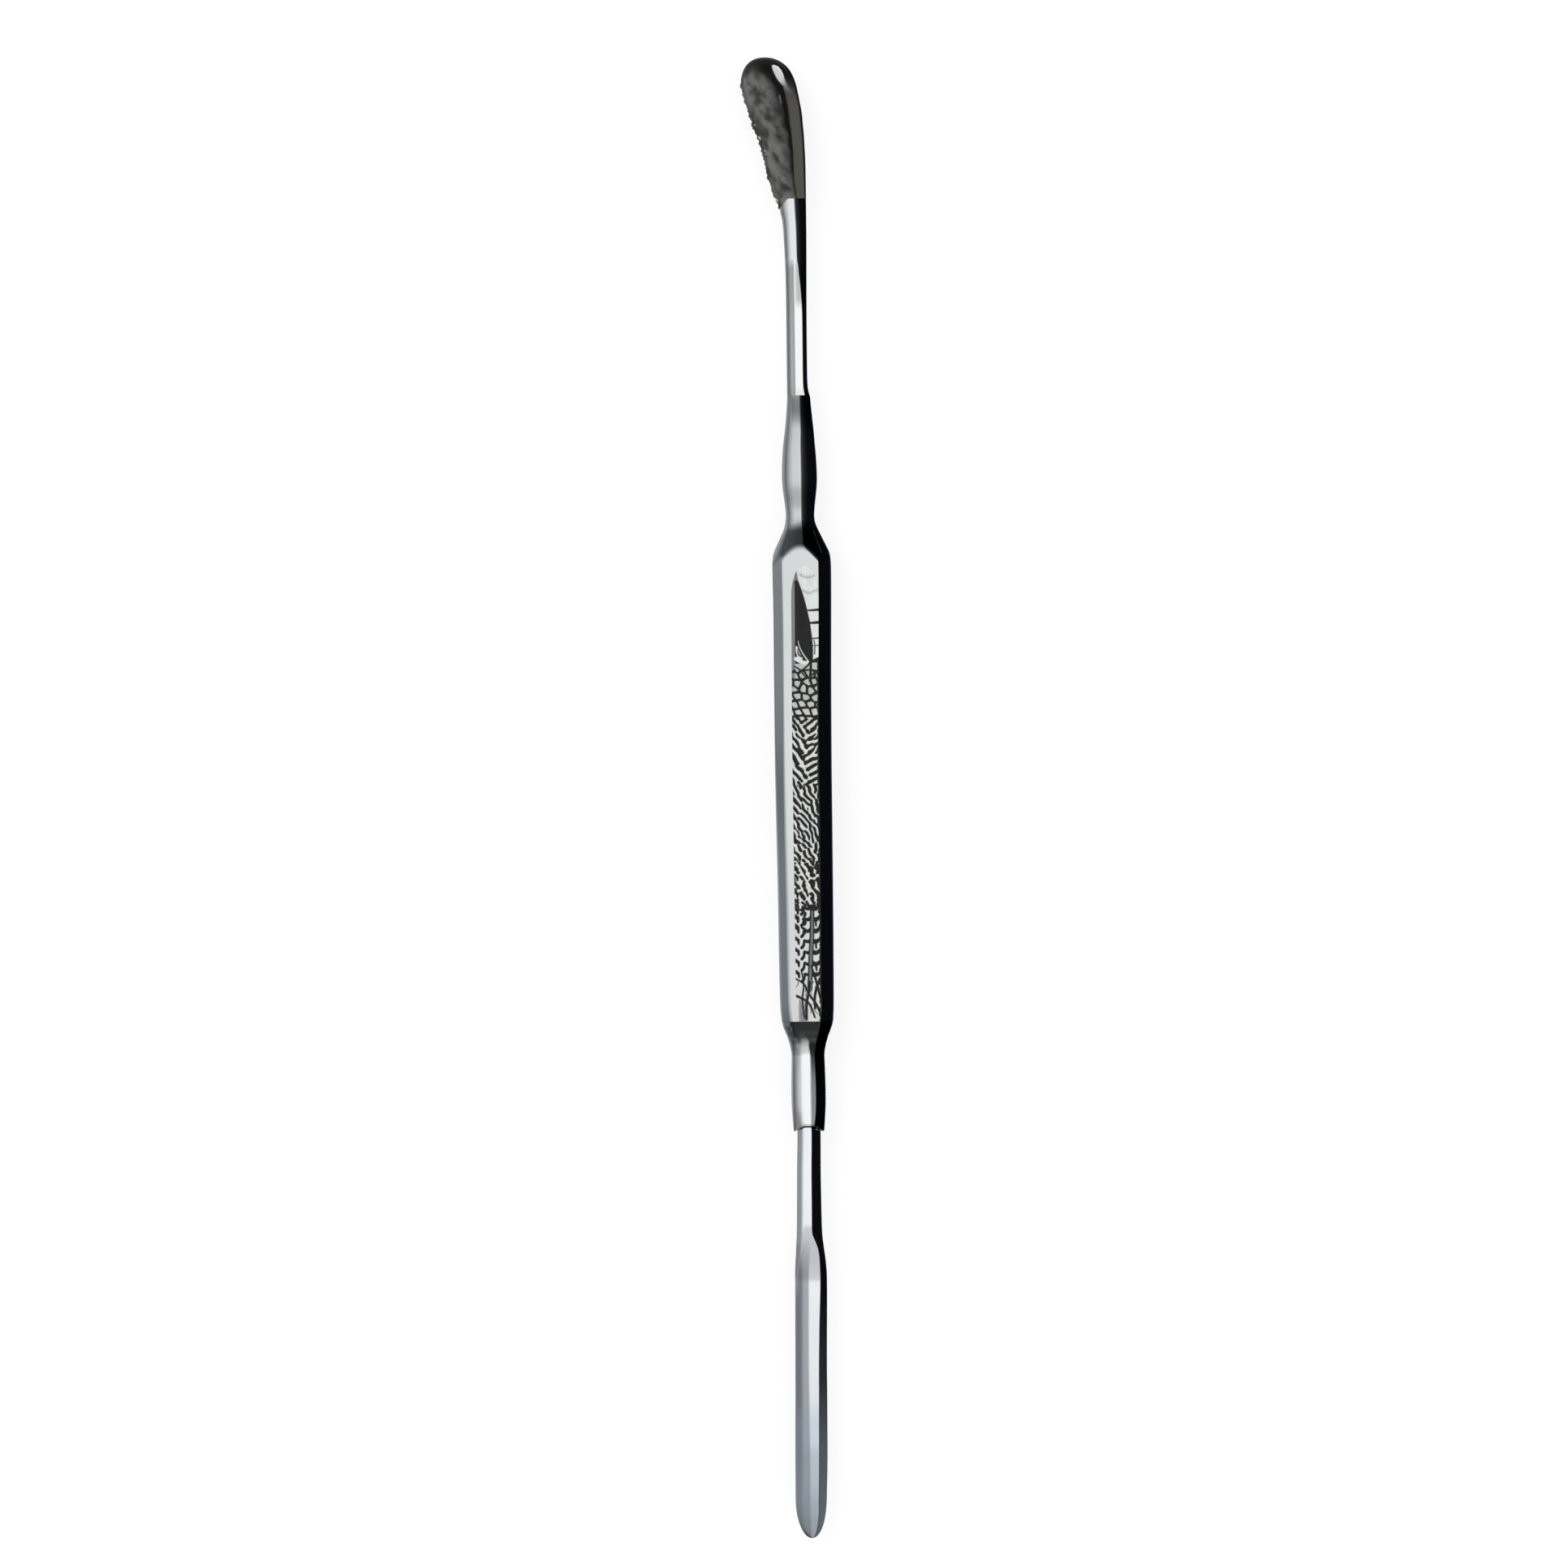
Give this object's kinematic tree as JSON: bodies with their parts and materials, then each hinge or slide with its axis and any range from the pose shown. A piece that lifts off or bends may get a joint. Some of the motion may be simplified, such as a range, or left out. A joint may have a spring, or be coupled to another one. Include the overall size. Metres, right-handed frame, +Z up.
{
  "type": "clay modeling tool",
  "caption": "Double-ended steel clay modeling tool: bent black rasp head, faceted hollow handle with etched grips, and a spatula blade held in a collet chuck.",
  "frame": {"origin": "centre of the bounding box's base: under the handle at mid-length, on the plane the tool rests on", "axes": "+Y along the tool towards the rasp head, which bends to -X; +Z up from the handle's rear flat"},
  "size_m": [0.011, 0.2, 0.0071],
  "materials": {
    "mirror_steel": "mirror polished stainless steel",
    "blade_steel": "finely polished stainless steel, faintly blue towards the tip",
    "black_oxide": "black oxide, glossy at the end and matt grey on the cut rasp face",
    "etched_steel": "bright lands with dark etched grooves",
    "brass": "machined",
    "plain_steel": "machined"
  },
  "bodies": {
    "handle": {"handle_tube": "mirror_steel", "grip_inlay_front": "etched_steel", "grip_inlay_rear": "etched_steel", "upper_ferrule": "mirror_steel", "rasp_shank": "mirror_steel", "rasp_head": "black_oxide", "tang_washer": "plain_steel", "tang_nut": "plain_steel", "chuck_insert": "plain_steel", "collet_spring": "plain_steel"},
    "collet": {"collet": "brass", "thrust_washer": "brass"},
    "nose_cap": {"nose_cap": "mirror_steel"},
    "blade": {"spatula_blade": "blade_steel"}
  },
  "joints": [
    {"name": "collet_slide", "type": "slide", "parent": "handle", "child": "collet", "axis": [0, -1, 0], "range_m": [0, 0.00075], "deforming": ["collet_spring"]},
    {"name": "cap_turn", "type": "hinge", "parent": "collet", "child": "nose_cap", "pos_m": [0.00159, -0.035, 0.00355], "axis": [0, -1, 0], "range_deg": [0, 541]},
    {"name": "blade_slide", "type": "slide", "parent": "collet", "child": "blade", "axis": [0, -1, 0], "range_m": [0, 0.012]}
  ],
  "couplings": [
    {"joint": "cap_turn", "follows": "collet_slide", "rad_per_m": 12566}
  ]
}
